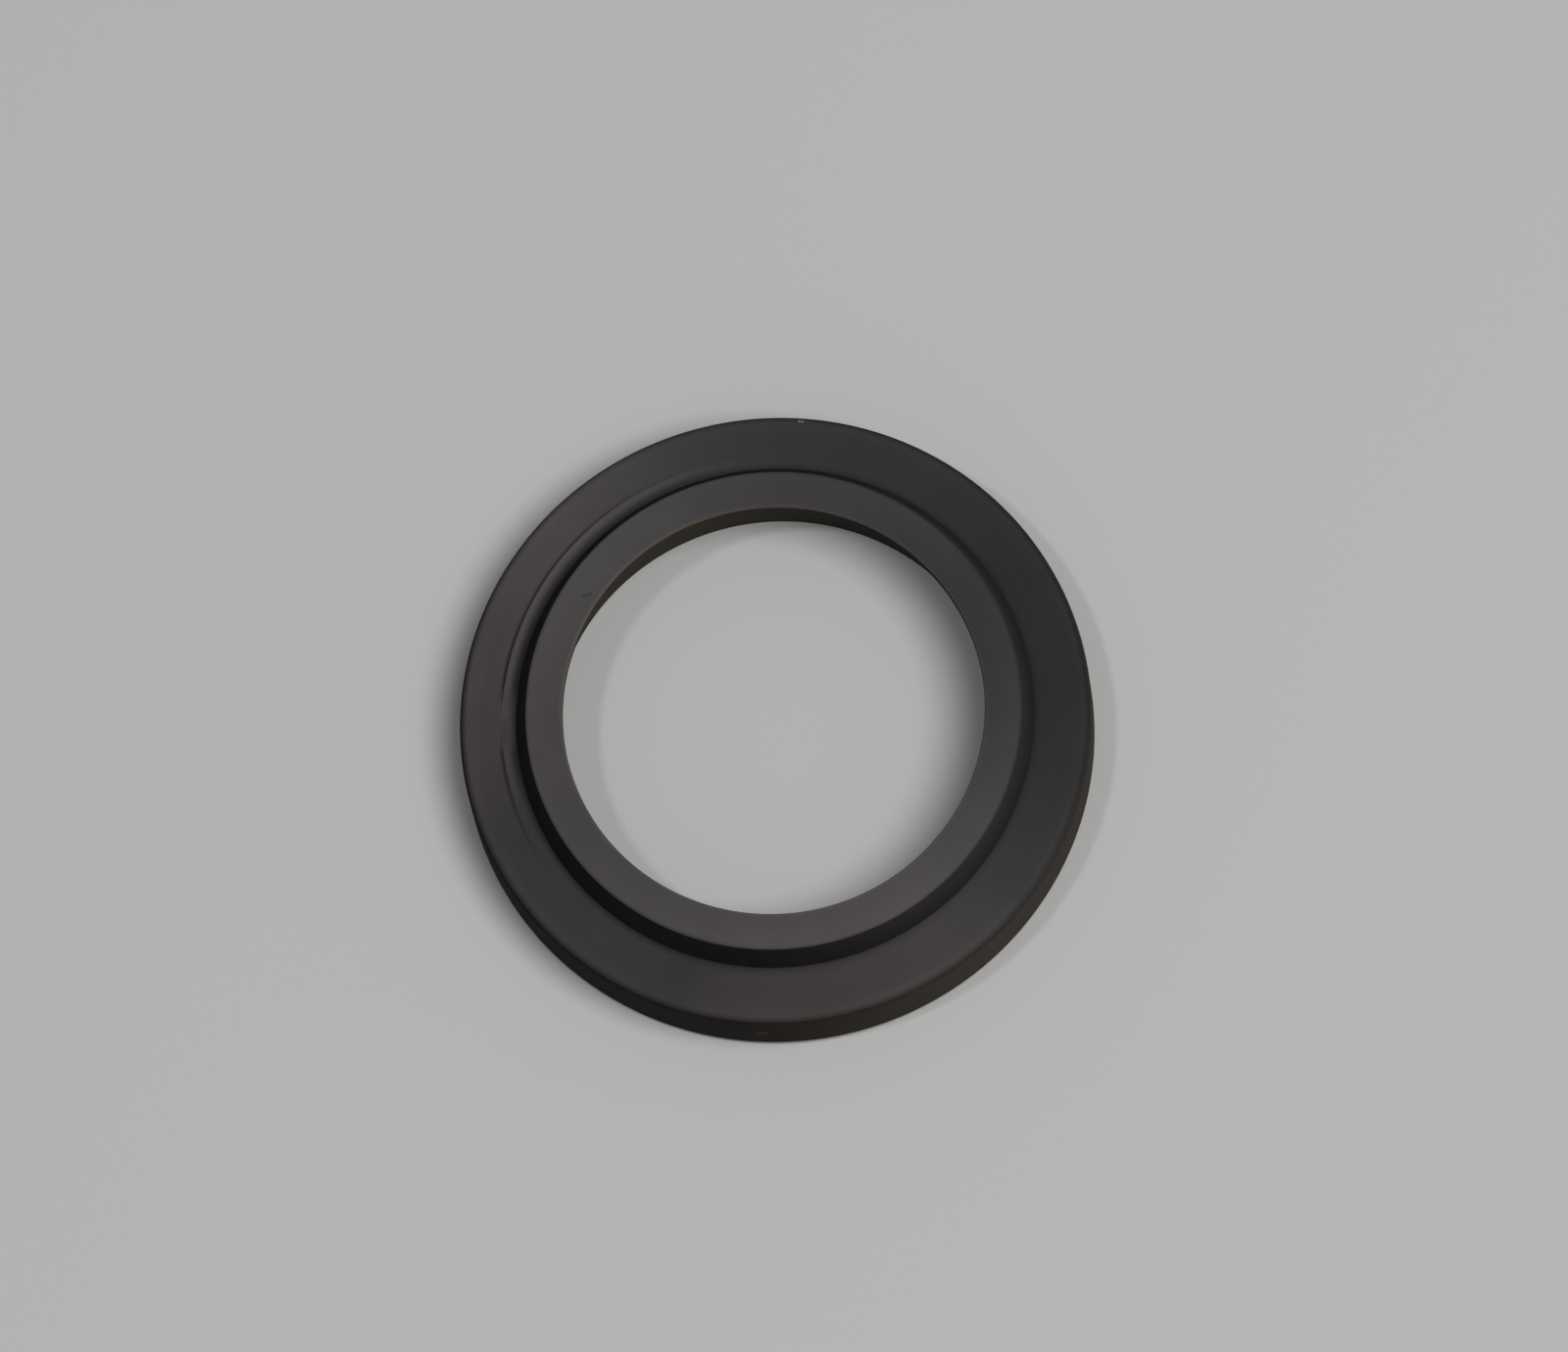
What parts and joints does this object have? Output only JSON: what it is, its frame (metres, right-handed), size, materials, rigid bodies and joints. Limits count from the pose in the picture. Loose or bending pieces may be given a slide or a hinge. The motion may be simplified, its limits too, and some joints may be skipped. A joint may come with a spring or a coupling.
{
  "type": "wiper seal",
  "caption": "Moulded rubber rod wiper ring: a thick body that presses into a housing, and a raised wiping lip round the bore, whose outer wall tapers down to a small fillet on the shoulder.",
  "frame": {"origin": "on the ring's axis, in the plane of the flat base", "axes": "+Z along the ring's axis, out through the wiping lip; the ring is round, so +X and +Y have no mark of their own"},
  "size_m": [0.045, 0.045, 0.0078],
  "materials": {
    "rubber": "moulded, matt with a soft satin sheen"
  },
  "bodies": {
    "root": {"wiper_seal": "rubber"}
  },
  "joints": []
}
